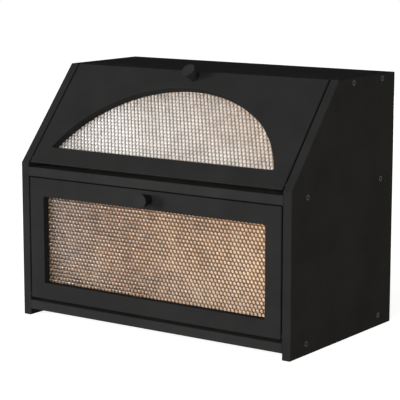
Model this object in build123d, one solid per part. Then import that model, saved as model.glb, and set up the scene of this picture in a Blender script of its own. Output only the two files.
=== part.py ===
from build123d import *
import math
import os
from dataclasses import dataclass

# A free-standing bread box with two compartments, one above the other. Each compartment
# closes with a drop-down door, which turns on two pins at its bottom corners and is held
# shut by magnets. The upper door leans back with the slanted front of the side panels.
# Millimetres. +X is right, +Y is back and +Z is up. The origin is on the surface that
# the box stands on, under the middle of its bounding box.

# The box
BOX_WIDTH = 410.0
BOX_DEPTH = 240.0  # of a side panel
BOX_HEIGHT = 320.0
UPRIGHT_HEIGHT = 200.0  # of a side panel's front edge, below the slant
SLANT_RUN = 103.0  # from the front edge back to where the slant meets the top
BOARD = 12.0  # sides, top, shelf and bottom
BACK_BOARD = 6.0
FOOT_HEIGHT = 8.0  # of the side panels below the bottom panel
SHELF_DROP = 5.0  # from the start of the slant down to the top of the shelf
EDGE_ROUND = 1.2  # on every edge of a board that shows

# The doors
DOOR_THICKNESS = 12.0
DOOR_SIDE_GAP = 1.8
UPPER_BOTTOM_GAP = 5.5  # from the door's level bottom edge down to the shelf
LOWER_BOTTOM_GAP = 4.0
DOOR_TOP_GAP = 1.3  # between the lower door and the shelf
DOOR_STOP_GAP = 0.5  # between a shut door and what it stops on
STILE = 22.5
UPPER_BOTTOM_RAIL = 26.2  # from the front of the bottom edge up to the window
LOWER_BOTTOM_RAIL = 21.4
LOWER_TOP_RAIL = 23.6
UPPER_TOP_RAIL = 25.7
ARCH_CENTRE_DROP = 51.5  # from the sill of the arched window down to its ellipse's centre
WINDOW_CORNER = 2.0
WINDOW_EDGE_ROUND = 0.8

# The panes, each in a rebate in the back of its door
PANE_THICKNESS = 2.5
PANE_LAP = 6.0  # of the rebate round the window
PANE_PLAY = 0.5
PANE_SCREW_SETBACK = 2.5  # from the rebate's edge out to the middle of a screw
PANE_SCREW_HEAD = 8.0
PANE_SCREW_HEAD_HEIGHT = 1.6
PANE_SCREW_SHANK = 2.8
PANE_SCREW_LENGTH = 8.0
ARCH_SCREWS_AT = (60.0, 140.0)  # from the middle, to the left and right
SILL_SCREWS_AT = 110.0

# The knobs
KNOB_LENGTH = 18.0
KNOB_FACE = 18.0  # diameter of its front
KNOB_BASE = 11.0  # diameter against the door
KNOB_EDGE_ROUND = 0.8
LOWER_KNOB_DROP = 10.0  # from the top edge of the door
UPPER_KNOB_DROP = 10.5
KNOB_SCREW_SHANK = 4.0
KNOB_SCREW_HEAD = 8.0
KNOB_SCREW_HEAD_HEIGHT = 2.4
KNOB_SCREW_REACH = 10.0  # into the knob
KNOB_SCREW_PLAY = 0.3  # round the shank in the door, at the radius

# The hinge pins and their bushes
PIN_DIAMETER = 4.0
PIN_DEPTH = 4.8  # of the pins' axis behind the door's front face
PIN_RISE = 4.0  # of the pins' axis above the door's bottom edge
PIN_IN_DOOR = 14.0
PIN_IN_SIDE = 6.0
BUSH_DIAMETER = 6.0
BUSH_LENGTH = 7.0
BUSH_FLANGE = 7.2
BUSH_FLANGE_THICKNESS = 1.2
BUSH_CLEARANCE = 0.05  # round the pin, at the radius

# The magnets and the lower door's stop blocks
MAGNET_DIAMETER = 6.0
MAGNET_THICKNESS = 3.0
STOP_BLOCK_LENGTH = 30.0
STOP_BLOCK_HEIGHT = 16.0
STOP_BLOCK_DEPTH = 12.0
STOP_SCREW_LENGTH = 24.0

# The screws that hold the boards
SIDE_SCREW_HEAD = 7.0
SIDE_SCREW_SHANK = 4.0
SIDE_SCREW_LENGTH = 40.0
SIDE_SCREW_SOCKET = 3.0  # hexagon, across its flats
SOCKET_DEPTH = 2.4
SIDE_SCREW_FRONT = 35.0  # from the front end of the board that it holds
SIDE_SCREW_BACK = 32.0  # from the back of the side panel
BACK_SCREW_HEAD = 6.0
BACK_SCREW_SHANK = 3.0
BACK_SCREW_LENGTH = 22.0
BACK_SCREWS_AT = (50.0, 150.0)  # from the middle, to the left and right
CROSS_WIDTH = 0.9
CROSS_DEPTH = 1.2
SCREW_TIP = 3.0

# Worked out from the sizes above
CUT_MARGIN = 1.0  # how far a cutting shape runs past what it cuts
FRONT = -(BOX_DEPTH - KNOB_LENGTH) / 2
BACK = FRONT + BOX_DEPTH
INNER_BACK = BACK - BACK_BOARD
INNER_HALF = BOX_WIDTH / 2 - BOARD
SLANT_RISE = BOX_HEIGHT - UPRIGHT_HEIGHT
SLANT_LENGTH = math.hypot(SLANT_RUN, SLANT_RISE)
SLANT_ANGLE = math.atan2(SLANT_RISE, SLANT_RUN)
UPRIGHT_ANGLE = math.pi / 2
BOTTOM_TOP = FOOT_HEIGHT + BOARD
SHELF_TOP = UPRIGHT_HEIGHT - SHELF_DROP
SHELF_UNDER = SHELF_TOP - BOARD
DOOR_HALF = INNER_HALF - DOOR_SIDE_GAP
WINDOW_HALF = DOOR_HALF - STILE
MAGNET_X = INNER_HALF - STOP_BLOCK_LENGTH / 2
BUSH_BORE = PIN_DIAMETER / 2 + BUSH_CLEARANCE
BLOCK_FRONT = FRONT + DOOR_THICKNESS + DOOR_STOP_GAP
LEFT_AND_RIGHT = (-1, 1)


@dataclass
class Door:
    """A door in its own plane: X across, Y up along its front face and Z out of that face.

    Its bottom and top edges are cut level, whatever the lean of its face.
    """

    plane: Plane
    angle: float  # of the face, from level
    bottom: float  # height of the bottom edge
    top: float  # of the front face, along it
    bottom_rail: float
    top_rail: float
    knob_drop: float
    magnet_height: float
    arched: bool

    @property
    def pivot(self):
        """How far up the face the pins are."""
        return self.along_face(self.bottom + PIN_RISE, PIN_DEPTH)

    @property
    def low(self):
        return self.along_face(self.bottom, 0)

    @property
    def back_low(self):
        return self.along_face(self.bottom, DOOR_THICKNESS)

    @property
    def back_top(self):
        return self.top + DOOR_THICKNESS / math.tan(self.angle)

    @property
    def sill(self):
        return self.low + self.bottom_rail

    @property
    def window_top(self):
        return self.top - self.top_rail

    def along_face(self, height, depth):
        """How far up the face a point is that lies at this height and depth behind it."""
        rise = height - self.plane.origin.Z
        return (rise + depth * math.cos(self.angle)) / math.sin(self.angle)

    def at(self, x, y, depth=0.0, facing_back=False):
        """A place on the door. Facing back, its Z points into the box."""
        turn = (180, 0, 0) if facing_back else (0, 0, 0)
        return self.plane.location * Location((x, y, -depth), turn)


def behind_slant(depth, height):
    """Y of a plane that lies this deep behind the slanted front, at this height."""
    share = (height - UPRIGHT_HEIGHT) / SLANT_RISE
    return FRONT + SLANT_RUN * share + depth / math.sin(SLANT_ANGLE)


SLANT_NORMAL = Vector(0, -math.sin(SLANT_ANGLE), math.cos(SLANT_ANGLE))
UPPER = Door(
    plane=Plane(origin=(0, FRONT, UPRIGHT_HEIGHT), x_dir=(1, 0, 0), z_dir=SLANT_NORMAL),
    angle=SLANT_ANGLE,
    bottom=SHELF_TOP + UPPER_BOTTOM_GAP,
    top=SLANT_LENGTH,
    bottom_rail=UPPER_BOTTOM_RAIL,
    top_rail=UPPER_TOP_RAIL,
    knob_drop=UPPER_KNOB_DROP,
    magnet_height=BOX_HEIGHT - BOARD / 2,
    arched=True,
)
LOWER = Door(
    plane=Plane(origin=(0, FRONT, 0), x_dir=(1, 0, 0), z_dir=(0, -1, 0)),
    angle=UPRIGHT_ANGLE,
    bottom=BOTTOM_TOP + LOWER_BOTTOM_GAP,
    top=SHELF_UNDER - DOOR_TOP_GAP,
    bottom_rail=LOWER_BOTTOM_RAIL,
    top_rail=LOWER_TOP_RAIL,
    knob_drop=LOWER_KNOB_DROP,
    magnet_height=SHELF_UNDER - STOP_BLOCK_HEIGHT / 2,
    arched=False,
)


# Helpers


def prism_across(points, half_width):
    """A solid with this outline in Y and Z, from -half_width to half_width in X."""
    outline = Plane.YZ * make_face(Polyline(*points, close=True))
    return extrude(outline, amount=half_width, both=True)


def bar(low, high):
    """A box between two corners."""
    size = [b - a for a, b in zip(low, high)]
    middle = [(a + b) / 2 for a, b in zip(low, high)]
    return Pos(*middle) * Box(*size)


def disc(radius, low, high):
    """A cylinder on the Z axis from low to high."""
    return Pos(0, 0, (low + high) / 2) * Cylinder(radius, high - low)


def cross_recess(head):
    """The cutting shape of a cross recess in a head of this diameter, below Z = 0."""
    reach = head * 0.55
    blade = Box(reach, CROSS_WIDTH, 2 * CROSS_DEPTH)
    return blade + Rot(0, 0, 90) * blade


def shank_with_tip(radius, top, length):
    """A plain shank from top down to -length, ending in a point."""
    tip = min(SCREW_TIP, (length + top) / 2)
    neck = -length + tip
    point = Pos(0, 0, neck - tip / 2) * Cone(radius / 4, radius, tip)
    return disc(radius, neck, top) + point


def head_cone(head, shank):
    """A countersunk head with its flat top at Z = 0. Its sides slope at 45 degrees."""
    height = (head - shank) / 2
    return Pos(0, 0, -height / 2) * Cone(shank / 2, head / 2, height)


def countersunk_screw(head, shank, length, socket=None):
    """A screw that sits flush, with a hexagon socket or else a cross recess."""
    screw = head_cone(head, shank) + shank_with_tip(shank / 2, 0, length)
    if socket:
        hexagon = RegularPolygon(socket / 2, 6, major_radius=False)
        return screw - extrude(hexagon, amount=-SOCKET_DEPTH)
    return screw - cross_recess(head)


def countersunk_hole(head, shank, length):
    """The cutting shape of the hole that a countersunk screw fills."""
    return head_cone(head, shank) + shank_with_tip(shank / 2, 0, length)


def pan_screw(head, head_height, shank, length):
    """A screw whose head stands on Z = 0 with a rounded rim and a cross recess."""
    cap = disc(head / 2, 0, head_height)
    cap = fillet(cap.edges().sort_by(Axis.Z)[-1], head_height * 0.45)
    cap -= Pos(0, 0, head_height) * cross_recess(head)
    return cap + shank_with_tip(shank / 2, 0, length)


def group(pieces):
    """Several separate solids of one node."""
    return Compound([solid for piece in pieces for solid in piece.solids()])


# Boards


def side_screw_places():
    """Y and Z of the screws through a side panel: two for each board that it holds."""
    top_front = FRONT + SLANT_RUN
    boards = (
        (FRONT, FOOT_HEIGHT + BOARD / 2),
        (FRONT, SHELF_UNDER + BOARD / 2),
        (top_front, BOX_HEIGHT - BOARD / 2),
    )
    return [
        (y, z)
        for front_end, z in boards
        for y in (front_end + SIDE_SCREW_FRONT, BACK - SIDE_SCREW_BACK)
    ]


def side_screw_locations(side):
    """Where the screws through the left (-1) or right (1) side panel go, Z pointing out."""
    outer = side * BOX_WIDTH / 2
    return [
        Plane(origin=(outer, y, z), x_dir=(0, 1, 0), z_dir=(side, 0, 0)).location
        for y, z in side_screw_places()
    ]


def back_screw_locations():
    """Where the screws through the back panel go, Z pointing out."""
    heights = (FOOT_HEIGHT + BOARD / 2, SHELF_UNDER + BOARD / 2, BOX_HEIGHT - BOARD / 2)
    return [
        Plane(origin=(side * x, BACK, z), x_dir=(1, 0, 0), z_dir=(0, 1, 0)).location
        for z in heights
        for x in BACK_SCREWS_AT
        for side in LEFT_AND_RIGHT
    ]


def stop_screw_locations():
    """Where the screws through the stop blocks go, Z pointing down."""
    y = BLOCK_FRONT + STOP_BLOCK_DEPTH / 2
    z = SHELF_UNDER - STOP_BLOCK_HEIGHT
    return [
        Plane(origin=(side * MAGNET_X, y, z), x_dir=(1, 0, 0), z_dir=(0, 0, -1)).location
        for side in LEFT_AND_RIGHT
    ]


def side_screw_holes(side):
    hole = countersunk_hole(SIDE_SCREW_HEAD, SIDE_SCREW_SHANK, SIDE_SCREW_LENGTH)
    return [place * hole for place in side_screw_locations(side)]


def back_screw_holes():
    hole = countersunk_hole(BACK_SCREW_HEAD, BACK_SCREW_SHANK, BACK_SCREW_LENGTH)
    return [place * hole for place in back_screw_locations()]


def stop_screw_holes():
    hole = countersunk_hole(BACK_SCREW_HEAD, BACK_SCREW_SHANK, STOP_SCREW_LENGTH)
    return [place * hole for place in stop_screw_locations()]


def side_panel(side):
    """A side panel, with its slanted front, screw holes and blind holes for the bushes."""
    outline = (
        (FRONT, 0),
        (FRONT, UPRIGHT_HEIGHT),
        (FRONT + SLANT_RUN, BOX_HEIGHT),
        (BACK, BOX_HEIGHT),
        (BACK, 0),
    )
    panel = Pos(side * (BOX_WIDTH - BOARD) / 2, 0, 0) * prism_across(outline, BOARD / 2)
    panel = fillet(panel.faces().filter_by(Axis.X).edges(), EDGE_ROUND)
    for hole in side_screw_holes(side):
        panel -= hole
    for door in (UPPER, LOWER):
        panel -= hinge_place(door, side) * disc(BUSH_DIAMETER / 2, -CUT_MARGIN, BUSH_LENGTH)
    return panel


def top_panel():
    """The top, whose front end is cut to lie along the back of the upper door."""
    depth = DOOR_THICKNESS + DOOR_STOP_GAP
    under = BOX_HEIGHT - BOARD
    outline = (
        (behind_slant(depth, under), under),
        (behind_slant(depth, BOX_HEIGHT), BOX_HEIGHT),
        (INNER_BACK, BOX_HEIGHT),
        (INNER_BACK, under),
    )
    panel = prism_across(outline, INNER_HALF)
    return drilled(panel, magnet_pockets(UPPER, in_door=False))


def level_board(under, cuts=()):
    """The shelf or the bottom panel, rounded along its front edges."""
    board = bar((-INNER_HALF, FRONT, under), (INNER_HALF, INNER_BACK, under + BOARD))
    front_edges = board.faces().sort_by(Axis.Y)[0].edges().filter_by(Axis.X)
    return drilled(fillet(front_edges, EDGE_ROUND), cuts)


def drilled(board, extra=()):
    """A level board with the holes of all screws that reach it."""
    cuts = back_screw_holes() + side_screw_holes(-1) + side_screw_holes(1) + list(extra)
    for cut in cuts:
        board -= cut
    return board


def back_panel():
    """The thin back, between the side panels and behind the level boards."""
    panel = bar((-INNER_HALF, INNER_BACK, FOOT_HEIGHT), (INNER_HALF, BACK, BOX_HEIGHT))
    for hole in back_screw_holes():
        panel -= hole
    return panel


def stop_blocks():
    """Two blocks under the shelf, in the corners, that the lower door stops on."""
    blocks = []
    for side, hole, pocket in zip(
        LEFT_AND_RIGHT, stop_screw_holes(), magnet_pockets(LOWER, in_door=False)
    ):
        block = Pos(
            side * MAGNET_X,
            BLOCK_FRONT + STOP_BLOCK_DEPTH / 2,
            SHELF_UNDER - STOP_BLOCK_HEIGHT / 2,
        ) * Box(STOP_BLOCK_LENGTH, STOP_BLOCK_DEPTH, STOP_BLOCK_HEIGHT)
        blocks.append(block - hole - pocket)
    return group(blocks)


# Doors


def window_outline(door, margin):
    """The window of a door as a flat face, grown by a margin on all sides."""
    sill, top = door.sill - margin, door.window_top + margin
    half = WINDOW_HALF + margin
    if not door.arched:
        outline = Pos(0, (sill + top) / 2) * Rectangle(2 * half, top - sill)
        return fillet(outline.vertices(), WINDOW_CORNER)
    drop = ARCH_CENTRE_DROP - margin
    high = top - sill + drop
    across = half / math.sqrt(1 - (drop / high) ** 2)
    arch = Pos(0, sill - drop) * Ellipse(across, high)
    below = Pos(0, sill - high) * Rectangle(4 * across, 2 * high)
    outline = arch - below
    return fillet(outline.vertices().group_by(Axis.Y)[0], WINDOW_CORNER)


def through_door(outline, low, high):
    """The outline as a solid between two heights above the door's front face."""
    return extrude(Pos(0, 0, low) * outline, amount=high - low)


def door_slab(door):
    """The door without its window, rounded all round except at the back of its top edge."""
    outline = Polyline(
        (door.low, 0),
        (door.back_low, -DOOR_THICKNESS),
        (door.back_top, -DOOR_THICKNESS),
        (door.top, 0),
        close=True,
    )
    slab = extrude(Plane.YZ * make_face(outline), amount=DOOR_HALF, both=True)
    back, front = slab.edges().filter_by(Axis.X).group_by(Axis.Z)
    ends = slab.faces().filter_by(Axis.X).edges()
    return fillet(ends + front + back.sort_by(Axis.Y)[:1], EDGE_ROUND)


def door_frame(door):
    """The door's board, with its window, rebate and holes, in the box's own frame."""
    frame = door_slab(door)
    window = window_outline(door, 0)
    frame -= through_door(window, -DOOR_THICKNESS - CUT_MARGIN, CUT_MARGIN)
    rim = [
        edge
        for edge in frame.edges().filter_by_position(Axis.Z, -0.01, 0.01)
        if abs(edge.center().X) < DOOR_HALF - STILE / 2
        and door.sill - 1 < edge.center().Y < door.window_top + 1
    ]
    frame = fillet(rim, WINDOW_EDGE_ROUND)
    rebate = window_outline(door, PANE_LAP)
    frame -= through_door(rebate, -DOOR_THICKNESS - CUT_MARGIN, -DOOR_THICKNESS + PANE_THICKNESS)
    frame = door.plane.location * frame

    screw_hole = shank_with_tip(PANE_SCREW_SHANK / 2, CUT_MARGIN, PANE_SCREW_LENGTH)
    for place in pane_screw_places(door):
        frame -= place * screw_hole
    bore = KNOB_SCREW_SHANK / 2 + KNOB_SCREW_PLAY
    frame -= knob_place(door) * disc(bore, -DOOR_THICKNESS - CUT_MARGIN, CUT_MARGIN)
    for side in LEFT_AND_RIGHT:
        frame -= hinge_place(door, side) * disc(PIN_DIAMETER / 2, *pin_in_door())
    for pocket in magnet_pockets(door, in_door=True):
        frame -= pocket
    return frame


def window_pane(door):
    """The clear pane, flush with the back of the door."""
    outline = window_outline(door, PANE_LAP - PANE_PLAY)
    pane = through_door(outline, -DOOR_THICKNESS, -DOOR_THICKNESS + PANE_THICKNESS)
    return door.plane.location * pane


def pane_screw_places(door):
    """Where the screws round a pane go: just outside its rebate, heads lapping over it."""
    reach = PANE_LAP + PANE_SCREW_SETBACK
    low = door.sill - reach
    points = [(side * SILL_SCREWS_AT, low) for side in LEFT_AND_RIGHT]
    if door.arched:
        drop = ARCH_CENTRE_DROP - reach
        high = door.window_top - door.sill + 2 * reach + drop
        across = (WINDOW_HALF + reach) / math.sqrt(1 - (drop / high) ** 2)
        for side in LEFT_AND_RIGHT:
            for x in ARCH_SCREWS_AT:
                rise = high * math.sqrt(1 - (x / across) ** 2)
                points.append((side * x, low - drop + rise))
    else:
        high = door.window_top + reach
        middle = (door.sill + door.window_top) / 2
        for side in LEFT_AND_RIGHT:
            points.append((side * SILL_SCREWS_AT, high))
            points.append((side * (WINDOW_HALF + reach), middle))
    return [door.at(x, y, DOOR_THICKNESS, facing_back=True) for x, y in points]


def pane_screws(door):
    screw = pan_screw(
        PANE_SCREW_HEAD, PANE_SCREW_HEAD_HEIGHT, PANE_SCREW_SHANK, PANE_SCREW_LENGTH
    )
    return group(place * screw for place in pane_screw_places(door))


# Knobs


def knob_place(door):
    """The knob's place on the front face, Z pointing out of the door."""
    return door.at(0, door.top - door.knob_drop)


def knob(door):
    """A knob that widens from its base to a flat front, drilled for its screw."""
    outline = Polyline(
        (0, 0), (KNOB_BASE / 2, 0), (KNOB_FACE / 2, KNOB_LENGTH), (0, KNOB_LENGTH), close=True
    )
    body = revolve(Plane.XZ * make_face(outline), Axis.Z)
    rim = body.edges().filter_by(GeomType.CIRCLE).sort_by(Axis.Z)[-1]
    body = fillet(rim, KNOB_EDGE_ROUND)
    body -= disc(KNOB_SCREW_SHANK / 2, -CUT_MARGIN, KNOB_SCREW_REACH)
    return knob_place(door) * body


def knob_screw(door):
    """The screw that holds the knob, from inside the door."""
    head = disc(KNOB_SCREW_HEAD / 2, 0, KNOB_SCREW_HEAD_HEIGHT)
    head = fillet(head.edges().sort_by(Axis.Z)[-1], KNOB_SCREW_HEAD_HEIGHT * 0.45)
    head -= Pos(0, 0, KNOB_SCREW_HEAD_HEIGHT) * cross_recess(KNOB_SCREW_HEAD)
    shank = disc(KNOB_SCREW_SHANK / 2, -DOOR_THICKNESS - KNOB_SCREW_REACH, 0)
    place = door.at(0, door.top - door.knob_drop, DOOR_THICKNESS, facing_back=True)
    return place * (head + shank)


# Hinges


def hinge_place(door, side):
    """The mouth of a bush's hole in a side panel's inner face, Z pointing into the panel."""
    middle = door.at(0, door.pivot, PIN_DEPTH).position
    origin = (side * INNER_HALF, middle.Y, middle.Z)
    return Plane(origin=origin, x_dir=(0, 1, 0), z_dir=(side, 0, 0)).location


def pin_in_door():
    """Where the pin's hole in the door lies along the hinge axis, from the side panel."""
    return -DOOR_SIDE_GAP - PIN_IN_DOOR, -DOOR_SIDE_GAP + CUT_MARGIN


def hinge_pins(door):
    pin = disc(PIN_DIAMETER / 2, -DOOR_SIDE_GAP - PIN_IN_DOOR, PIN_IN_SIDE)
    return group(hinge_place(door, side) * pin for side in LEFT_AND_RIGHT)


def hinge_bushes(door):
    """A flanged bush for each pin, pushed into the side panel."""
    bush = disc(BUSH_DIAMETER / 2, 0, BUSH_LENGTH)
    bush += disc(BUSH_FLANGE / 2, -BUSH_FLANGE_THICKNESS, 0)
    bush -= disc(BUSH_BORE, -BUSH_FLANGE_THICKNESS - CUT_MARGIN, BUSH_LENGTH + CUT_MARGIN)
    return group(hinge_place(door, side) * bush for side in LEFT_AND_RIGHT)


# Magnets


def magnet_places(door, in_door):
    """Where each magnet's outer face lies, Z pointing out of the board that holds it."""
    depth = DOOR_THICKNESS if in_door else DOOR_THICKNESS + DOOR_STOP_GAP
    y = door.along_face(door.magnet_height, DOOR_THICKNESS + DOOR_STOP_GAP)
    return [door.at(side * MAGNET_X, y, depth, facing_back=in_door) for side in LEFT_AND_RIGHT]


def magnet_pockets(door, in_door):
    pocket = disc(MAGNET_DIAMETER / 2, -MAGNET_THICKNESS, CUT_MARGIN)
    return [place * pocket for place in magnet_places(door, in_door)]


def magnets(door, in_door):
    magnet = disc(MAGNET_DIAMETER / 2, -MAGNET_THICKNESS, 0)
    return group(place * magnet for place in magnet_places(door, in_door))


# Screws of the boards


def side_screws(side):
    screw = countersunk_screw(
        SIDE_SCREW_HEAD, SIDE_SCREW_SHANK, SIDE_SCREW_LENGTH, SIDE_SCREW_SOCKET
    )
    return group(place * screw for place in side_screw_locations(side))


def back_screws():
    screw = countersunk_screw(BACK_SCREW_HEAD, BACK_SCREW_SHANK, BACK_SCREW_LENGTH)
    return group(place * screw for place in back_screw_locations())


def stop_screws():
    screw = countersunk_screw(BACK_SCREW_HEAD, BACK_SCREW_SHANK, STOP_SCREW_LENGTH)
    return group(place * screw for place in stop_screw_locations())


# The whole box

PIECES = {
    "left_side_panel": side_panel(-1),
    "right_side_panel": side_panel(1),
    "top_panel": top_panel(),
    "middle_shelf": level_board(SHELF_UNDER, stop_screw_holes()),
    "bottom_panel": level_board(FOOT_HEIGHT),
    "back_panel": back_panel(),
    "lower_stop_blocks": stop_blocks(),
    "left_side_screws": side_screws(-1),
    "right_side_screws": side_screws(1),
    "back_panel_screws": back_screws(),
    "stop_block_screws": stop_screws(),
}
for name, door in (("upper", UPPER), ("lower", LOWER)):
    PIECES[f"{name}_door_frame"] = door_frame(door)
    PIECES[f"{name}_window_pane"] = window_pane(door)
    PIECES[f"{name}_pane_screws"] = pane_screws(door)
    PIECES[f"{name}_knob"] = knob(door)
    PIECES[f"{name}_knob_screw"] = knob_screw(door)
    PIECES[f"{name}_hinge_pins"] = hinge_pins(door)
    PIECES[f"{name}_hinge_bushes"] = hinge_bushes(door)
    PIECES[f"{name}_door_magnets"] = magnets(door, in_door=True)
    PIECES[f"{name}_catch_magnets"] = magnets(door, in_door=False)

os.makedirs("parts", exist_ok=True)
for name, piece in PIECES.items():
    export_step(piece, f"parts/{name}.step")

for name, door in (("upper", UPPER), ("lower", LOWER)):
    axis = door.at(0, door.pivot, PIN_DEPTH).position
    print(f"{name} door turns about Y {axis.Y:.3f}, Z {axis.Z:.3f}")
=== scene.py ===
import logging
import math
from dataclasses import dataclass
from enum import Enum
from typing import Iterator

import bmesh
import bpy
from mathutils import Matrix, Vector


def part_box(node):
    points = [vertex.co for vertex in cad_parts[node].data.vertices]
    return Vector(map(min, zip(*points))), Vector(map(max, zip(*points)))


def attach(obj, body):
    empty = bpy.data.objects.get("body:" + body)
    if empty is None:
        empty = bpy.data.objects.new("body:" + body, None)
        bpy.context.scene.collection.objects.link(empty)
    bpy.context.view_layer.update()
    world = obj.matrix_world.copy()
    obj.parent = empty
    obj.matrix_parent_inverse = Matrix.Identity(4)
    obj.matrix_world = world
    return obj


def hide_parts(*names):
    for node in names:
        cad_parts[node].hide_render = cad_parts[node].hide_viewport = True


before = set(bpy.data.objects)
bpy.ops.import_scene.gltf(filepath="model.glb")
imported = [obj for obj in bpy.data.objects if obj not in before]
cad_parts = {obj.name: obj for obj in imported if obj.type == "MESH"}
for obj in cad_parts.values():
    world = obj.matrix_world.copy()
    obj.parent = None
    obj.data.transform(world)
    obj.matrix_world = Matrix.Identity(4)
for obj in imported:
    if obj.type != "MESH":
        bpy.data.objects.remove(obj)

# The looks of a free-standing bread box with two compartments, each closed by a drop-down
# door with an embossed clear pane. Lengths are in metres, in the frame of the solids:
# +X is right, +Y is back and +Z is up.

log = logging.getLogger("bread_box")

Colour = tuple[float, float, float]
Place = tuple[float, float, float]
Span = tuple[float, float]
Socket = bpy.types.NodeSocket

MM = 0.001
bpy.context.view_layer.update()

# The box, measured on the solids
SIDE_LOW, SIDE_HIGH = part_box("right_side_panel")
SHELF_LOW, SHELF_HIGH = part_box("middle_shelf")
DOOR_LOW, DOOR_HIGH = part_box("lower_door_frame")
PANE_LOW, PANE_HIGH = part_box("lower_window_pane")
KNOB_LOW, KNOB_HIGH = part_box("lower_knob")
FRONT = SIDE_LOW.y
BOX_TOP = SIDE_HIGH.z
INNER_HALF = SIDE_LOW.x
INNER_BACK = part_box("back_panel")[0].y
FLOOR_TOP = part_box("bottom_panel")[1].z
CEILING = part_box("top_panel")[0].z
DOOR_THICKNESS = DOOR_HIGH.y - DOOR_LOW.y
PANE_HALF = PANE_HIGH.x

# The slant of the upper door
SLANT_START = 200 * MM
SLANT_RUN = 103 * MM
SLANT_RISE = BOX_TOP - SLANT_START
SLANT_LENGTH = math.hypot(SLANT_RUN, SLANT_RISE)
UPPER_KNOB_DROP = 10.5 * MM  # from the top of the slant, along it

# The arched pane, measured up the slant
ARCH_SILL = 21.36 * MM
ARCH_TOP = 137.94 * MM
ARCH_CENTRE = -24.64 * MM  # of its ellipse
ARCH_STRETCH = 1.08  # of its field of domes

ROOM_DEPTH = 40 * MM  # how far behind a door's front the bare wood of its room begins
SKIN = 0.05 * MM  # how far inside a face the edge of its finish is

RELIEF = "relief"  # an attribute of a pane, 0 between its domes and 1 on top of them, that places their painted shade
BACK_RELIEF = 1.0  # what it is all over a pane's flat back
BACK_FROM = 0.995  # a relief above this counts as the back
NOISE_RANGE = (0.3, 0.7)  # the values that a noise mostly keeps to
MERGE_DISTANCE = 0.01 * MM
CUT_DISTANCE = 0.001 * MM

RIGHT = Vector((1, 0, 0))
BACKWARD = Vector((0, 1, 0))
UP = Vector((0, 0, 1))


class Body(Enum):
    """The moving bodies that new pieces ride on."""

    UPPER_DOOR = "upper_door"
    LOWER_DOOR = "lower_door"


class Axis(Enum):
    """The ways that a board's grain can run."""

    X = 0
    Y = 1
    Z = 2


@dataclass(frozen=True)
class Noise:
    """A soft noise between 0 and 1."""

    scale: float  # cycles in one unit of the place that it is drawn on
    detail: float = 2.0
    roughness: float = 0.5


@dataclass(frozen=True)
class Bump:
    """How deep a pattern is pressed into a surface."""

    depth: float  # what a height of 1 stands for
    strength: float


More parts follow.
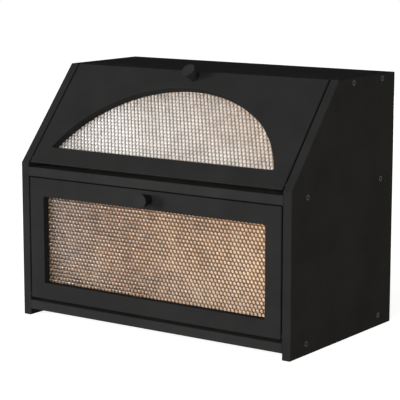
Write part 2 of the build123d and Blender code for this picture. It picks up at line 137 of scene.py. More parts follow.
class Graph:
    """The shader nodes of one material or world, added and joined in short calls."""

    def __init__(self, name: str = "", world: bpy.types.World | None = None) -> None:
        """Starts empty.

        Args:
            name: the new material's name.
            world: the world to draw instead of a new material.
        """
        self.owner = world or bpy.data.materials.new(name)
        self.owner.use_nodes = True
        self.tree = self.owner.node_tree
        self.tree.nodes.clear()

    def add(self, kind: str, inputs: dict | None = None, **settings: object) -> bpy.types.Node:
        """Adds a node.

        Args:
            kind: the node's type, such as ShaderNodeMath.
            inputs: for each input, by name or number, a plain value or a socket to join.
            settings: the node's own properties.

        Returns:
            The new node.
        """
        node = self.tree.nodes.new(kind)
        for name, value in settings.items():
            setattr(node, name, value)
        for name, value in (inputs or {}).items():
            if isinstance(value, Socket):
                self.tree.links.new(value, node.inputs[name])
            else:
                node.inputs[name].default_value = value
        return node

    def math(self, operation: str, *values: Socket | float) -> Socket:
        """Works out a number from one, two or three others."""
        return self.add("ShaderNodeMath", dict(enumerate(values)), operation=operation).outputs[0]

    def dot(self, vector: Socket, way: Vector) -> Socket:
        """Measures a vector along a direction of length 1."""
        node = self.add("ShaderNodeVectorMath", {0: vector, 1: tuple(way)}, operation="DOT_PRODUCT")
        return node.outputs["Value"]

    def shifted(self, vector: Socket, move: Socket | Place) -> Socket:
        """Adds a move to a place."""
        return self.add("ShaderNodeVectorMath", {0: vector, 1: move}, operation="ADD").outputs[0]

    def places(self) -> Socket:
        """Gives the place on the piece, in metres."""
        return self.add("ShaderNodeTexCoord").outputs["Object"]

    def drawn_out(self, way: Axis, along: float, across: float) -> Socket:
        """Scales the place on the piece so that a noise on it runs along an axis.

        Args:
            way: the axis.
            along: the scale along it.
            across: the scale along the other two.

        Returns:
            The scaled place.
        """
        scale = [across] * 3
        scale[way.value] = along
        node = self.add("ShaderNodeMapping", {"Vector": self.places(), "Scale": tuple(scale)})
        return node.outputs["Vector"]

    def noise(self, where: Socket, kind: Noise) -> Socket:
        """Draws a noise of this kind on the place given."""
        node = self.add("ShaderNodeTexNoise", {
            "Vector": where, "Scale": kind.scale, "Detail": kind.detail,
            "Roughness": kind.roughness})
        return node.outputs["Fac"]

    def spread(self, value: Socket, low: float, high: float,
               within: Span = NOISE_RANGE) -> Socket:
        """Maps a value from within a range, at whose ends it is cut off, onto low to high."""
        node = self.add("ShaderNodeMapRange", {
            "Value": value, "From Min": within[0], "From Max": within[1],
            "To Min": low, "To Max": high})
        return node.outputs["Result"]

    def around(self, value: Socket, middle: float, swing: float,
               within: Span = NOISE_RANGE) -> Socket:
        """Maps a noise onto a middle and a swing to both sides, turned over by one below 0."""
        return self.spread(value, middle - swing, middle + swing, within)

    def ramp(self, value: Socket, *stops: tuple[float, Colour]) -> Socket:
        """Turns a value into a colour.

        Args:
            value: the value, between 0 and 1.
            stops: the values at which there is a colour of its own, and these colours.

        Returns:
            The colour.
        """
        node = self.add("ShaderNodeValToRGB", {"Fac": value})
        elements = node.color_ramp.elements
        while len(elements) < len(stops):
            elements.new(1.0)
        for element, (place, colour) in zip(elements, stops):
            element.position = place
            element.color = (*colour, 1.0)
        return node.outputs["Color"]

    def blend(self, share: Socket, first: Socket | Colour, second: Socket | Colour) -> Socket:
        """Mixes two colours.

        Args:
            share: how much of the second there is.
            first: a colour.
            second: the other.

        Returns:
            The mixed colour.
        """
        ends = [(*end, 1.0) if isinstance(end, tuple) else end for end in (first, second)]
        # The node has sockets of the same names for each kind of data, so they go by number
        node = self.add("ShaderNodeMix", {0: share, 6: ends[0], 7: ends[1]}, data_type="RGBA")
        return node.outputs[2]

    def tinted(self, share: Socket, colour: Colour, low: float, high: float) -> Socket:
        """Makes a colour wander from a low to a high brightness, 1 being the colour itself."""
        return self.blend(share, tuple(low * part for part in colour),
                          tuple(high * part for part in colour))

    def between(self, share: Socket, first: Socket | float, second: Socket | float) -> Socket:
        """Mixes two numbers, where the share is how much of the second there is."""
        node = self.add("ShaderNodeMix", {0: share, 2: first, 3: second}, data_type="FLOAT")
        return node.outputs[0]

    def bump(self, height: Socket, pressed: Bump, under: Socket | None = None) -> Socket:
        """Turns a height between 0 and 1 into a bent normal.

        Args:
            height: the height over the surface.
            pressed: how deep it is.
            under: the normal of a coarser bump below it.

        Returns:
            The normal.
        """
        inputs = {"Height": height, "Distance": pressed.depth, "Strength": pressed.strength}
        if under is not None:
            inputs["Normal"] = under
        return self.add("ShaderNodeBump", inputs).outputs["Normal"]

    def finish(self, shader: bpy.types.Node) -> bpy.types.Material:
        """Joins the last shader to the output and gives the material."""
        self.add("ShaderNodeOutputMaterial", {"Surface": shader.outputs[0]})
        return self.owner

    def plain(self, inputs: dict) -> bpy.types.Material:
        """Makes a material of one Principled shader with these inputs."""
        return self.finish(self.add("ShaderNodeBsdfPrincipled", inputs))


@dataclass(frozen=True)
class Side:
    """One side of a plane: the points further along a direction than a level."""

    way: Vector
    level: float

    def holds(self, graph: Graph, where: Socket) -> Socket:
        """Gives 1 on this side of the plane and 0 on the other."""
        return graph.math("GREATER_THAN", graph.dot(where, self.way), self.level)


@dataclass(frozen=True)
class Wood:
    """Pale wood, planed and oiled, glued up from narrow strips."""

    pale: Colour = (0.90, 0.67, 0.38)
    dark: Colour = (0.74, 0.49, 0.23)
    pale_from: float = 0.68  # of the sum of streaks, fibres and tone
    dark_to: float = 0.34
    roughness: float = 0.5
    strip_width: float = 18 * MM
    strip_share: float = 0.22  # of the tone that each strip has of its own
    scale_along: float = 5.0  # of the grain
    scale_across: float = 150.0
    streaks: Noise = Noise(scale=1.0, detail=5.0, roughness=0.6)
    streak_share: float = 0.6
    fibres: Noise = Noise(scale=7.0, detail=3.0, roughness=0.6)
    fibre_share: float = 0.25

    def colour(self, graph: Graph, grain: Axis, across: Axis) -> Socket:
        """Draws the wood's colour.

        Args:
            graph: the material's nodes.
            grain: the way that the grain runs.
            across: the way that the strips lie side by side.

        Returns:
            The colour.
        """
        split = graph.add("ShaderNodeSeparateXYZ", {"Vector": graph.places()})
        place = split.outputs[across.value]
        strip = graph.math("FLOOR", graph.math("DIVIDE", place, self.strip_width))
        chance = graph.add("ShaderNodeTexWhiteNoise", {"W": strip}, noise_dimensions="1D")
        tone = chance.outputs["Value"]
        where = graph.shifted(graph.drawn_out(grain, self.scale_along, self.scale_across),
                              chance.outputs["Color"])
        streaks = graph.noise(where, self.streaks)
        fibres = graph.noise(where, self.fibres)
        mixed = graph.math("ADD", graph.math("MULTIPLY", streaks, self.streak_share),
                           graph.math("MULTIPLY", fibres, self.fibre_share))
        mixed = graph.math("ADD", mixed, graph.math("MULTIPLY", tone, self.strip_share))
        return graph.ramp(mixed, (self.dark_to, self.dark), (self.pale_from, self.pale))


@dataclass(frozen=True)
class Lacquer:
    """Satin black lacquer, through which the grain below hardly shows."""

    colour: Colour = (0.0200, 0.0200, 0.0198)
    sheen: float = 0.0004
    roughness: float = 0.78


@dataclass(frozen=True)
class BoardFinish:
    """A board: black lacquer outside, and bare oiled wood on its faces inside the box."""

    name: str
    grain: Axis
    across: Axis
    bare: tuple[tuple[Side, ...], ...] = ()  # rooms, each the points on all of its sides
    lacquer: Lacquer = Lacquer()
    wood: Wood = Wood()
    scale_along: float = 9.0  # of the grain below the lacquer
    scale_across: float = 260.0
    fibres: Noise = Noise(scale=1.0, detail=4.0, roughness=0.55)
    cloud: Noise = Noise(22.0, detail=3.0)
    peel: Noise = Noise(950.0)  # the fine waves of sprayed lacquer
    brightness: Span = (0.90, 1.10)
    grain_swing: float = 0.05  # of the roughness with the grain
    cloud_swing: float = 0.04
    grain_bump: Bump = Bump(0.03 * MM, strength=0.6)
    peel_bump: Bump = Bump(0.012 * MM, strength=0.6)

    def is_bare(self, graph: Graph) -> Socket | None:
        """Finds where the wood is bare.

        Args:
            graph: the material's nodes.

        Returns:
            1 where it is bare and 0 elsewhere, or None if the board is black all over.
        """
        found = None
        where = graph.places()
        for sides in self.bare:
            inside = None
            for side in sides:
                held = side.holds(graph, where)
                inside = held if inside is None else graph.math("MULTIPLY", inside, held)
            found = inside if found is None else graph.math("MAXIMUM", found, inside)
        return found

    def material(self) -> bpy.types.Material:
        """Makes the board's material.

        Returns:
            The material.
        """
        graph = Graph(self.name)
        grain = graph.noise(graph.drawn_out(self.grain, self.scale_along, self.scale_across),
                            self.fibres)
        cloud = graph.noise(graph.places(), self.cloud)
        peel = graph.noise(graph.places(), self.peel)
        colour = graph.tinted(graph.spread(cloud, 0.0, 1.0), self.lacquer.colour, *self.brightness)
        rough = graph.math("ADD", graph.around(cloud, 0.0, self.cloud_swing),
                           graph.around(grain, self.lacquer.roughness, self.grain_swing))
        bare = self.is_bare(graph)
        if bare is not None:
            colour = graph.blend(bare, colour, self.wood.colour(graph, self.grain, self.across))
            rough = graph.between(bare, rough, self.wood.roughness)
        normal = graph.bump(peel, self.peel_bump, graph.bump(grain, self.grain_bump))
        return graph.plain({"Base Color": colour, "Roughness": rough, "Normal": normal,
                            "Specular IOR Level": self.lacquer.sheen})


@dataclass(frozen=True)
class KnobFinish:
    """Satin black lacquer on a turned knob, with faint rings left by the lathe."""

    name: str
    centre: Vector
    tilt: float  # of the knob's axis, from level
    # A lighter copy of the boards' lacquer, painted light that makes the knob's face brighter than
    # its door.
    lacquer: Lacquer = Lacquer((0.0235, 0.0235, 0.0232))
    cloud: Noise = Noise(120.0, detail=3.0)
    brightness: Span = (0.90, 1.15)
    rough_swing: float = 0.06
    ring_scale: float = 700.0
    ring_wobble: float = 1.5
    wobble_detail: float = 2.0
    wobble_scale: float = 0.5
    ring_bump: Bump = Bump(0.01 * MM, strength=0.5)

    def rings(self, graph: Graph) -> Socket:
        """Draws rings round the knob's axis.

        Args:
            graph: the material's nodes.

        Returns:
            The rings' height.
        """
        moved = graph.add("ShaderNodeMapping", {
            "Vector": graph.places(), "Location": tuple(-self.centre)})
        level = graph.add("ShaderNodeMapping", {
            "Vector": moved.outputs[0], "Rotation": (self.tilt, 0.0, 0.0)})
        wave = graph.add("ShaderNodeTexWave", {
            "Vector": level.outputs[0], "Scale": self.ring_scale, "Distortion": self.ring_wobble,
            "Detail": self.wobble_detail, "Detail Scale": self.wobble_scale},
            wave_type="RINGS", rings_direction="Y")
        return wave.outputs["Fac"]

    def material(self) -> bpy.types.Material:
        """Makes the knob's material.

        Returns:
            The material.
        """
        graph = Graph(self.name)
        cloud = graph.noise(graph.places(), self.cloud)
        colour = graph.tinted(graph.spread(cloud, 0.0, 1.0), self.lacquer.colour, *self.brightness)
        return graph.plain({
            "Base Color": colour,
            "Roughness": graph.around(cloud, self.lacquer.roughness, self.rough_swing),
            "Specular IOR Level": self.lacquer.sheen,
            "Normal": graph.bump(self.rings(graph), self.ring_bump)})


@dataclass(frozen=True)
class Acrylic:
    """Clear embossed acrylic, faintly milky, that lets lamps light what is behind it, with painted
    shade on its domes that leaves painted bright spots on their tops.
    """

    name: str = "clear_acrylic"
    colour: Colour = (0.82, 0.80, 0.77)  # on top of the domes, where the painted shade leaves them bright
    # The slope's and the valley's colours are painted shade, darkening each dome towards the
    # valleys round it.
    slope_shade: Colour = (0.062, 0.041, 0.028)
    valley_shade: Colour = (0.009, 0.006, 0.004)  # painted shade between the domes
    slope_shade_at: float = 0.28  # the relief at which there is the slope's painted shade
    top_from: float = 0.60  # the relief from which there is the top's colour
    clearness: float = 0.86
    mist: float = 0.14  # how far the clearness wanders from place to place
    swing: float = 0.19  # how far the domes' brightness, their painted shade, wanders with it
    unevenness: float = 0.22  # of the domes' painted shade, from dome to dome
    cloud: Noise = Noise(7.0, detail=1.0)  # that mist and swing follow
    start: Place = (0.0, 0.0, 0.0)  # of the cloud
    patches: Noise = Noise(75.0)  # that the unevenness follows
    patch_range: Span = (0.32, 0.68)  # the values that it mostly keeps to
    flow: Noise = Noise(60.0)  # the waves of the moulded surface
    flow_bump: Bump = Bump(0.05 * MM, strength=0.4)
    roughness: float = 0.28
    inner_roughness: float = 0.06  # on the flat back and where light leaves the acrylic
    bend: float = 1.49
    gloss: float = 0.7  # of the hard coat on it
    gloss_roughness: float = 0.07
    gloss_bend: float = 1.6
    see_through: float = 0.4  # share of the light that passes straight on
    tint_power: float = 0.5  # of the colour with its painted shade, for the light that passes straight on

    def cloudy(self, graph: Graph) -> Socket:
        """Draws the broad soft cloud that the milkiness and the brightness follow."""
        return graph.noise(graph.shifted(graph.places(), self.start), self.cloud)

    def domes(self, graph: Graph, height: Socket, cloud: Socket) -> Socket:
        """Draws the domes' colour, painted shade that darkens each dome towards the valleys round
        it.

        Args:
            graph: the material's nodes.
            height: the relief.
            cloud: the broad cloud.

        Returns:
            The colour.
        """
        patches = graph.noise(graph.places(), self.patches)
        uneven = graph.around(patches, 1.0, self.unevenness, self.patch_range)
        broad = graph.around(cloud, 1.0, self.swing, self.patch_range)
        relief = graph.math("MULTIPLY", graph.math("MULTIPLY", height, uneven), broad)
        return graph.ramp(relief, (0.0, self.valley_shade), (self.slope_shade_at, self.slope_shade),
                          (self.top_from, self.colour))

    def material(self) -> bpy.types.Material:
        """Makes the panes' material.

        Returns:
            The material.
        """
        graph = Graph(self.name)
        height = graph.add("ShaderNodeAttribute", attribute_name=RELIEF).outputs["Fac"]
        cloud = self.cloudy(graph)
        # The domes' painted shade goes into the base colour and, through the tint, into the light
        # that passes straight on.
        colour = self.domes(graph, height, cloud)
        leaving = graph.add("ShaderNodeNewGeometry").outputs["Backfacing"]
        flat_back = graph.math("GREATER_THAN", height, BACK_FROM)
        rough = graph.between(graph.math("MAXIMUM", leaving, flat_back),
                              self.roughness, self.inner_roughness)
        misty = graph.around(cloud, self.clearness, -self.mist)
        body = graph.add("ShaderNodeBsdfPrincipled", {
            "Base Color": colour, "Roughness": rough, "IOR": self.bend,
            "Transmission Weight": graph.between(flat_back, misty, 1.0),
            "Coat Weight": self.gloss, "Coat Roughness": self.gloss_roughness,
            "Coat IOR": self.gloss_bend,
            "Normal": graph.bump(graph.noise(graph.places(), self.flow), self.flow_bump)})
        tint = graph.add("ShaderNodeGamma", {"Color": colour, "Gamma": self.tint_power}).outputs[0]
        straight = graph.add("ShaderNodeBsdfTransparent", {"Color": tint})
        seen = graph.add("ShaderNodeMixShader", {
            0: self.see_through, 1: body.outputs[0], 2: straight.outputs[0]})
        open_way = graph.add("ShaderNodeBsdfTransparent")
        path = graph.add("ShaderNodeLightPath")
        return graph.finish(graph.add("ShaderNodeMixShader", {
            0: path.outputs["Is Shadow Ray"], 1: seen.outputs[0], 2: open_way.outputs[0]}))


@dataclass(frozen=True)
class Metal:
    """A plain or plated metal with a fine uneven sheen."""

    name: str
    colour: Colour
    roughness: float
    speckle: Noise = Noise(1500.0, detail=3.0)
    cloud: Noise = Noise(250.0)
    brightness: Span = (0.85, 1.0)
    rough_swing: float = 0.07
    speckle_bump: Bump = Bump(0.01 * MM, strength=0.5)

    def material(self) -> bpy.types.Material:
        """Makes the metal's material.

        Returns:
            The material.
        """
        graph = Graph(self.name)
        speckle = graph.noise(graph.places(), self.speckle)
        cloud = graph.noise(graph.places(), self.cloud)
        return graph.plain({
            "Base Color": graph.tinted(graph.spread(cloud, 0.0, 1.0), self.colour,
                                       *self.brightness),
            "Metallic": 1.0, "Roughness": graph.around(speckle, self.roughness, self.rough_swing),
            "Normal": graph.bump(speckle, self.speckle_bump)})


@dataclass(frozen=True)
class Nylon:
    """Black moulded nylon with a fine matte texture."""

    name: str = "black_nylon"
    colour: Colour = (0.015, 0.015, 0.015)
    roughness: float = 0.7
    sheen: float = 0.1
    spots: Noise = Noise(2500.0)
    brightness: Span = (1.0, 1.3)
    rough_swing: float = 0.08
    spot_bump: Bump = Bump(0.02 * MM, strength=0.5)

    def material(self) -> bpy.types.Material:
        """Makes the bushes' material.

        Returns:
            The material.
        """
        graph = Graph(self.name)
        spots = graph.noise(graph.places(), self.spots)
        return graph.plain({
            "Base Color": graph.tinted(spots, self.colour, *self.brightness),
            "Roughness": graph.around(spots, self.roughness, self.rough_swing),
            "Specular IOR Level": self.sheen, "Normal": graph.bump(spots, self.spot_bump)})


def dress(node: str, material: bpy.types.Material) -> None:
    """Gives a CAD node its material.

    Args:
        node: the node's name.
        material: its finish.
    """
    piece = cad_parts[node]
    for slot in piece.material_slots:
        slot.material = material
    if not piece.material_slots:
        piece.data.materials.append(material)
    log.info("dressed %s in %s", node, material.name)


@dataclass(frozen=True)
class Outline:
    """The outline of a pane on the face of its door, as lines that it is trimmed along."""

    half_width: float
    sill: float  # its lower edge, measured up the face
    top: float

    def lines(self) -> Iterator[tuple[Vector, Vector]]:
        """Walks round the outline.

        Yields:
            A point on each line and the direction away from the pane.
        """
        middle = (self.sill + self.top) / 2
        yield Vector((0, self.sill, 0)), Vector((0, -1, 0))
        yield Vector((0, self.top, 0)), Vector((0, 1, 0))
        yield Vector((self.half_width, middle, 0)), Vector((1, 0, 0))
        yield Vector((-self.half_width, middle, 0)), Vector((-1, 0, 0))


@dataclass(frozen=True)
class ArchedOutline(Outline):
    """An outline with a level sill below part of an ellipse."""

    centre: float  # of the ellipse, up the face and less than 0 below its foot
    steps: int = 44

    def lines(self) -> Iterator[tuple[Vector, Vector]]:
        """Walks round the outline.

        Yields:
            A point on each line and the direction away from the pane.
        """
        yield Vector((0, self.sill, 0)), Vector((0, -1, 0))
        high = self.top - self.centre
        foot = math.asin((self.sill - self.centre) / high)
        wide = self.half_width / math.cos(foot)
        for step in range(self.steps + 1):
            turn = foot + (math.pi - 2 * foot) * step / self.steps
            point = Vector((wide * math.cos(turn), self.centre + high * math.sin(turn), 0))
            away = Vector((math.cos(turn) / wide, math.sin(turn) / high, 0))
            yield point, away.normalized()


@dataclass(frozen=True)
class DoorFace:
    """The front face of a door: X across, Y up along the face and Z out of it."""

    foot: float  # height at which the face starts
    angle: float  # of the face, from level

    def matrix(self) -> Matrix:
        """Gives the turn and move from the face to the frame."""
        turn = Matrix.Rotation(self.angle, 4, "X")
        return Matrix.Translation((0, FRONT, self.foot)) @ turn

    def inward(self) -> Vector:
        """Gives the direction from the face into the box."""
        return -(self.matrix().to_3x3() @ Vector((0, 0, 1)))

    def behind(self, depth: float) -> Side:
        """Gives the side of the plane that lies a depth behind the face."""
        start = Vector((0, FRONT, self.foot)).dot(self.inward())
        return Side(self.inward(), start + depth)


LOWER_FACE = DoorFace(foot=0.0, angle=math.pi / 2)
UPPER_FACE = DoorFace(foot=SLANT_START, angle=math.atan2(SLANT_RISE, SLANT_RUN))
LOWER_ROOM = LOWER_FACE.behind(ROOM_DEPTH)
UPPER_ROOM = UPPER_FACE.behind(ROOM_DEPTH)


@dataclass(frozen=True)
class EmbossedPane:
    """A thin pane whose front is a hexagonal field of low domes."""

    name: str
    body: Body
    node: str  # the flat pane of the solids that it stands for
    face: DoorFace
    outline: Outline
    stretch: float = 1.0  # of the field, up the face
    front: float = PANE_LOW.y - FRONT  # depth of the domes' tops behind the door's front
    back: float = PANE_HIGH.y - FRONT
    pitch: float = 5.5 * MM
    dome_height: float = 1.1 * MM  # of a top over the middle of its hexagon's sides
    cuts: int = 2  # in each edge of a dome's six triangles
    slimness: float = 0.78  # below 1, the painted bright spots are longer along the rows that lean left
    slim_across: float = 0.4  # the power of it that makes them narrower across those rows
    crease: float = math.radians(30)  # angle from which an edge is sharp

    def spot(self, flat: Vector) -> float:
        """Gives the relief at a place on a dome: 1 at its middle, 0 from its edge on, which places
        the painted shade and painted bright spot there.

        Args:
            flat: the place, from the dome's middle.

        Returns:
            The relief.
        """
        leaning = Vector((0.5, -math.sqrt(3) / 2))
        along = flat.dot(leaning) * self.slimness
        across = flat.cross(leaning) / self.slimness ** self.slim_across
        return max(0.0, 1.0 - math.hypot(along, across) / (self.pitch / 2))

    def dome(self) -> bmesh.types.BMesh:
        """Makes one hexagonal dome.

        Returns:
            The dome, its top at the height of 0.
        """
        mesh = bmesh.new()
        corner = self.pitch / math.sqrt(3)
        bmesh.ops.create_circle(mesh, cap_ends=True, cap_tris=True, segments=6, radius=corner)
        bmesh.ops.subdivide_edges(mesh, edges=mesh.edges[:], cuts=self.cuts, use_grid_fill=True)
        half = self.pitch / 2
        ball = (half ** 2 + self.dome_height ** 2) / (2 * self.dome_height)
        relief = mesh.verts.layers.float.new(RELIEF)
        for vert in mesh.verts:
            flat = vert.co.xy
            vert.co.z = math.sqrt(ball ** 2 - flat.length_squared) - ball
            vert[relief] = self.spot(flat)
        return mesh

    def repeat(self, mesh: bmesh.types.BMesh, step: Vector, doublings: int) -> None:
        """Copies all that is there, time and again, each time twice as far along.

        Args:
            mesh: what is copied.
            step: the move to the first copy.
            doublings: how many times the mesh doubles.
        """
        for doubling in range(doublings):
            whole = mesh.verts[:] + mesh.edges[:] + mesh.faces[:]
            copied = bmesh.ops.duplicate(mesh, geom=whole)["geom"]
            moved = [item for item in copied if isinstance(item, bmesh.types.BMVert)]
            bmesh.ops.translate(mesh, verts=moved, vec=step * 2 ** doubling)

    def field(self) -> bmesh.types.BMesh:
        """Makes the field of domes.

        Returns:
            The field, larger than the pane.
        """
        mesh = self.dome()
        row = self.pitch * math.sqrt(3) / 2
        self.repeat(mesh, Vector((self.pitch / 2, row, 0)), 1)
        across = math.ceil(math.log2(2 * self.outline.half_width / self.pitch + 1))
        upward = math.ceil(math.log2((self.outline.top - self.outline.sill) / row / 2 + 1))
        self.repeat(mesh, Vector((self.pitch, 0, 0)), across)
        self.repeat(mesh, Vector((0, 2 * row, 0)), upward)
        bmesh.ops.remove_doubles(mesh, verts=mesh.verts[:], dist=MERGE_DISTANCE)
        bmesh.ops.scale(mesh, verts=mesh.verts[:], vec=(1.0, self.stretch, 1.0))
        middle = (self.outline.sill + self.outline.top) / 2
        half_wide = self.pitch * (2 ** across - 0.5) / 2
        half_high = row * self.stretch * (2 ** upward - 0.5)
        bmesh.ops.translate(mesh, verts=mesh.verts[:], vec=(-half_wide, middle - half_high, 0))
        return mesh

    def trim(self, mesh: bmesh.types.BMesh) -> None:
        """Cuts the field along the pane's outline.

        Args:
            mesh: the field.
        """
        for point, away in self.outline.lines():
            bmesh.ops.bisect_plane(mesh, geom=mesh.verts[:] + mesh.edges[:] + mesh.faces[:],
                                   dist=CUT_DISTANCE, plane_co=point, plane_no=away,
                                   clear_outer=True)

    def close(self, mesh: bmesh.types.BMesh) -> None:
        """Gives the field its rim and its flat back.

        Args:
            mesh: the trimmed field.
        """
        relief = mesh.verts.layers.float[RELIEF]
        rim = [edge for edge in mesh.edges if edge.is_boundary]
        drawn = bmesh.ops.extrude_edge_only(mesh, edges=rim)["geom"]
        for item in drawn:
            if isinstance(item, bmesh.types.BMVert):
                item.co.z = self.front - self.back
                item[relief] = BACK_RELIEF
        edges = [item for item in drawn if isinstance(item, bmesh.types.BMEdge)]
        bmesh.ops.contextual_create(mesh, geom=[edge for edge in edges if edge.is_boundary])
        bmesh.ops.recalc_face_normals(mesh, faces=mesh.faces[:])

    def build(self, material: bpy.types.Material) -> bpy.types.Object:
        """Makes the pane in its place on its door.

        Args:
            material: the pane's finish.

        Returns:
            The finished piece.
        """
        mesh = self.field()
        self.trim(mesh)
        self.close(mesh)
        bmesh.ops.translate(mesh, verts=mesh.verts[:], vec=(0, 0, -self.front))
        bmesh.ops.transform(mesh, matrix=self.face.matrix(), verts=mesh.verts[:])
        for side in mesh.faces:
            side.smooth = True
        data = bpy.data.meshes.new(self.name)
        mesh.to_mesh(data)
        mesh.free()
        data.set_sharp_from_angle(angle=self.crease)
        piece = bpy.data.objects.new(self.name, data)
        bpy.context.scene.collection.objects.link(piece)
        data.materials.append(material)
        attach(piece, self.body.value)
        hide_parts(self.node)
        log.info("made %s: %d faces", self.name, len(data.polygons))
        return piece


@dataclass
class Carcass:
    """The fixed boards, with the screws, bushes and magnets in them."""

    screws: bpy.types.Material
    magnets: bpy.types.Material
    bushes: bpy.types.Material
    brightened_front_lacquer: Lacquer = Lacquer((0.0235, 0.0235, 0.0233))  # a lighter copy of the lacquer, for boards with a front edge: painted light that brightens those edges

    def sides(self) -> Iterator[BoardFinish]:
        """Finishes the two side panels.

        Yields:
            Each one's finish, named as its node.
        """
        for name, way in (("left_side_panel", RIGHT), ("right_side_panel", -RIGHT)):
            inside = (Side(way, -INNER_HALF - SKIN), Side(UP, FLOOR_TOP), LOWER_ROOM, UPPER_ROOM)
            yield BoardFinish(name, Axis.Z, Axis.Y, (inside,))

    def boards(self) -> Iterator[BoardFinish]:
        """Finishes the boards between the side panels.

        Yields:
            Each one's finish, named as its node.
        """
        ceiling = Side(-UP, -CEILING - SKIN)
        over_shelf = Side(UP, SHELF_HIGH.z - SKIN)
        under_shelf = Side(-UP, -SHELF_LOW.z - SKIN)
        floor = Side(UP, FLOOR_TOP - SKIN)
        wall = Side(-BACKWARD, -INNER_BACK - SKIN)
        yield BoardFinish("top_panel", Axis.X, Axis.Y, ((ceiling,),))
        yield BoardFinish("middle_shelf", Axis.X, Axis.Y,
                          ((over_shelf, UPPER_ROOM), (under_shelf, LOWER_ROOM)),
                          self.brightened_front_lacquer)
        yield BoardFinish("bottom_panel", Axis.X, Axis.Y, ((floor, LOWER_ROOM),),
                          self.brightened_front_lacquer)
        yield BoardFinish("back_panel", Axis.X, Axis.Z, ((wall,),))
        yield BoardFinish("lower_stop_blocks", Axis.X, Axis.Z)

    def build(self) -> None:
        """Dresses every node of the carcass."""
        for board in (*self.sides(), *self.boards()):
            dress(board.name, board.material())
        for node in ("left_side_screws", "right_side_screws", "back_panel_screws",
                     "stop_block_screws"):
            dress(node, self.screws)
        for door in ("upper", "lower"):
            dress(f"{door}_catch_magnets", self.magnets)
            dress(f"{door}_hinge_bushes", self.bushes)


@dataclass
class Door:
    """A drop-down door with its pane, knob, pins and magnets."""

    name: str
    body: Body
    face: DoorFace
    outline: Outline
    knob_up: float  # of the knob's axis along the face
    screws: bpy.types.Material
    steel: bpy.types.Material
    magnets: bpy.types.Material
    acrylic: bpy.types.Material
    stretch: float = 1.0  # of the pane's field, up the face

    def build(self) -> None:
        """Dresses the door's nodes and makes its pane."""
        board = BoardFinish(f"{self.name}_door_board", Axis.X, Axis.Z,
                            ((self.face.behind(DOOR_THICKNESS - SKIN),),))
        centre = self.face.matrix() @ Vector((0, self.knob_up, 0))
        knob = KnobFinish(f"{self.name}_knob_lacquer", centre, self.face.angle - math.pi / 2)
        for part, material in (("door_frame", board.material()), ("knob", knob.material()),
                               ("pane_screws", self.screws), ("knob_screw", self.steel),
                               ("hinge_pins", self.screws), ("door_magnets", self.magnets)):
            dress(f"{self.name}_{part}", material)
        EmbossedPane(f"{self.name}_embossed_pane", self.body, f"{self.name}_window_pane",
                     self.face, self.outline, self.stretch).build(self.acrylic)


@dataclass(frozen=True)
class Softbox:
    """A soft lamp that points at the box."""

    name: str
    place: Place
    size: float
    watts: float
    colour: Colour = (1.0, 1.0, 1.0)

    def build(self, target: Vector) -> None:
        """Hangs the lamp.

        Args:
            target: the point that it faces.
        """
        data = bpy.data.lights.new(self.name, "AREA")
        data.shape = "SQUARE"
        data.size = self.size
        data.energy = self.watts
        data.color = self.colour
        lamp = bpy.data.objects.new(self.name, data)
        lamp.location = self.place
        lamp.rotation_mode = "QUATERNION"
        lamp.rotation_quaternion = (target - lamp.location).to_track_quat("-Z", "Y")
        bpy.context.scene.collection.objects.link(lamp)


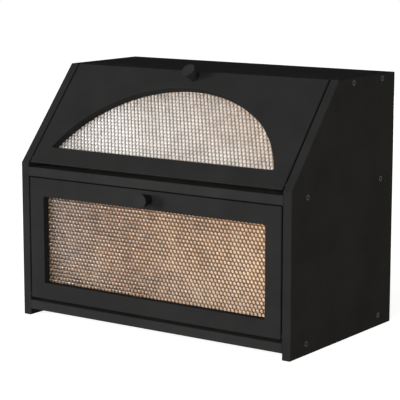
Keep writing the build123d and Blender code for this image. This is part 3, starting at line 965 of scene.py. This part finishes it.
@dataclass
class Studio:
    """A white floor, soft lamps and a camera at the photograph's viewing angle."""

    azimuth: float = math.radians(35.293)
    elevation: float = math.radians(9.76)
    distance: float = 2.0418
    lens: float = 144.26  # millimetres, as is the sensor
    sensor: float = 36.0
    clip: Span = (0.05, 50.0)
    aim_height: float = 160 * MM
    aim_right: float = -1.688 * MM  # as the camera sees it
    aim_up: float = -4.793 * MM
    floor_radius: float = 8.0
    floor_corners: int = 96
    floor_colour: float = 0.45
    glow: Span = (0.86, 1.0)  # the floor's own light near the box and far away
    glow_reach: Span = (0.2, 0.7)  # from the middle, between which it changes
    sky: Span = (0.15, 0.12)  # the world's light at the horizon and overhead
    sky_rise: Span = (0.0, 0.7)  # the heights between which it changes
    white: float = 1.0  # the brightness of the background
    lamps: tuple[Softbox, ...] = (
        Softbox("key_softbox", (-1.8, -2.15, 0.62), size=1.0, watts=66.0),
        Softbox("front_softbox", (0.8, -2.8, 0.8), size=1.0, watts=64.0),
        Softbox("side_softbox", (2.5, 0.7, 0.4), size=1.0, watts=28.0, colour=(1.0, 0.92, 0.76)),
        Softbox("back_softbox", (-0.7, 2.7, 0.2), size=0.6, watts=26.0),
    )

    def camera(self) -> None:
        """Places the camera as near to the photograph's as one without a shift gets."""
        back = Vector((math.sin(self.azimuth) * math.cos(self.elevation),
                       -math.cos(self.azimuth) * math.cos(self.elevation),
                       math.sin(self.elevation)))
        right = Vector((math.cos(self.azimuth), math.sin(self.azimuth), 0))
        up = back.cross(right)
        aim = Vector((0, 0, self.aim_height)) + right * self.aim_right + up * self.aim_up
        data = bpy.data.cameras.new("camera")
        data.sensor_width = self.sensor
        data.lens = self.lens
        data.clip_start, data.clip_end = self.clip
        made = bpy.data.objects.new("camera", data)
        turn = Matrix((right, up, back)).transposed().to_4x4()
        made.matrix_world = Matrix.Translation(aim + back * self.distance) @ turn
        bpy.context.scene.collection.objects.link(made)
        bpy.context.scene.camera = made

    def seen_directly(self, graph: Graph) -> Socket:
        """Tells the rays that show a thing from those that light another by it.

        Args:
            graph: the material's or world's nodes.

        Returns:
            1 for rays from the camera, a mirror or glass, and 0 for the others.
        """
        path = graph.add("ShaderNodeLightPath")
        seen = graph.math("MAXIMUM", path.outputs["Is Camera Ray"], path.outputs["Is Glossy Ray"])
        return graph.math("MAXIMUM", seen, path.outputs["Is Transmission Ray"])

    def paper(self) -> bpy.types.Material:
        """Makes the floor's finish, white to the eye and grey to the light on the box.

        Returns:
            The material.
        """
        graph = Graph("floor_paper")
        reach = graph.add("ShaderNodeVectorMath", {0: graph.places()}, operation="LENGTH")
        glow = graph.spread(reach.outputs["Value"], *self.glow, self.glow_reach)
        paper = graph.add("ShaderNodeBsdfDiffuse", {"Color": (*(self.floor_colour,) * 3, 1.0)})
        light = graph.add("ShaderNodeEmission", {
            "Strength": graph.math("MULTIPLY", self.seen_directly(graph), glow)})
        return graph.finish(graph.add("ShaderNodeAddShader", {
            0: paper.outputs[0], 1: light.outputs[0]}))

    def floor(self) -> None:
        """Lays a pale floor that keeps the box's shadow."""
        mesh = bmesh.new()
        bmesh.ops.create_circle(mesh, cap_ends=True, segments=self.floor_corners,
                                radius=self.floor_radius)
        data = bpy.data.meshes.new("floor")
        mesh.to_mesh(data)
        mesh.free()
        data.materials.append(self.paper())
        piece = bpy.data.objects.new("floor", data)
        bpy.context.scene.collection.objects.link(piece)

    def world(self) -> None:
        """Lights the scene evenly, with a background that is white to the eye."""
        world = bpy.data.worlds.new("studio")
        bpy.context.scene.world = world
        graph = Graph(world=world)
        way = graph.add("ShaderNodeTexCoord").outputs["Generated"]
        height = graph.add("ShaderNodeSeparateXYZ", {"Vector": way}).outputs["Z"]
        sky = graph.spread(height, *self.sky, self.sky_rise)
        strength = graph.between(self.seen_directly(graph), sky, self.white)
        background = graph.add("ShaderNodeBackground",
                               {"Color": (1.0, 1.0, 1.0, 1.0), "Strength": strength})
        graph.add("ShaderNodeOutputWorld", {"Surface": background.outputs[0]})

    def build(self) -> None:
        """Sets up the whole studio."""
        self.world()
        self.floor()
        for lamp in self.lamps:
            lamp.build(Vector((0, 0, self.aim_height)))
        self.camera()
        bpy.context.scene.view_settings.view_transform = "Standard"


def main() -> None:
    """Builds and dresses the bread box, then the studio round it."""
    logging.basicConfig(level=logging.INFO, format="%(message)s")
    screws = Metal("black_zinc", (0.025, 0.024, 0.023), roughness=0.45).material()
    steel = Metal("zinc_plated_steel", (0.60, 0.60, 0.60), roughness=0.32).material()
    magnets = Metal("nickel_plate", (0.70, 0.69, 0.66), roughness=0.2).material()
    # The upper pane's slope and valley colours are paler painted shade on its domes.
    hazy = Acrylic("hazy_acrylic", colour=(0.82, 0.81, 0.79), slope_shade=(0.35, 0.32, 0.29),
                   valley_shade=(0.12, 0.10, 0.085), clearness=0.34, mist=0.3, swing=0.40,
                   start=(0.9, 0.0, 0.3), see_through=0.25).material()
    clear = Acrylic().material()
    arch = ArchedOutline(PANE_HALF, ARCH_SILL, ARCH_TOP, ARCH_CENTRE)
    rectangle = Outline(PANE_HALF, PANE_LOW.z, PANE_HIGH.z)
    Carcass(screws, magnets, Nylon().material()).build()
    Door("upper", Body.UPPER_DOOR, UPPER_FACE, arch, knob_up=SLANT_LENGTH - UPPER_KNOB_DROP,
         screws=screws, steel=steel, magnets=magnets, acrylic=hazy, stretch=ARCH_STRETCH).build()
    Door("lower", Body.LOWER_DOOR, LOWER_FACE, rectangle, knob_up=(KNOB_LOW.z + KNOB_HIGH.z) / 2,
         screws=screws, steel=steel, magnets=magnets, acrylic=clear).build()
    Studio().build()


if __name__ == "__main__":
    main()
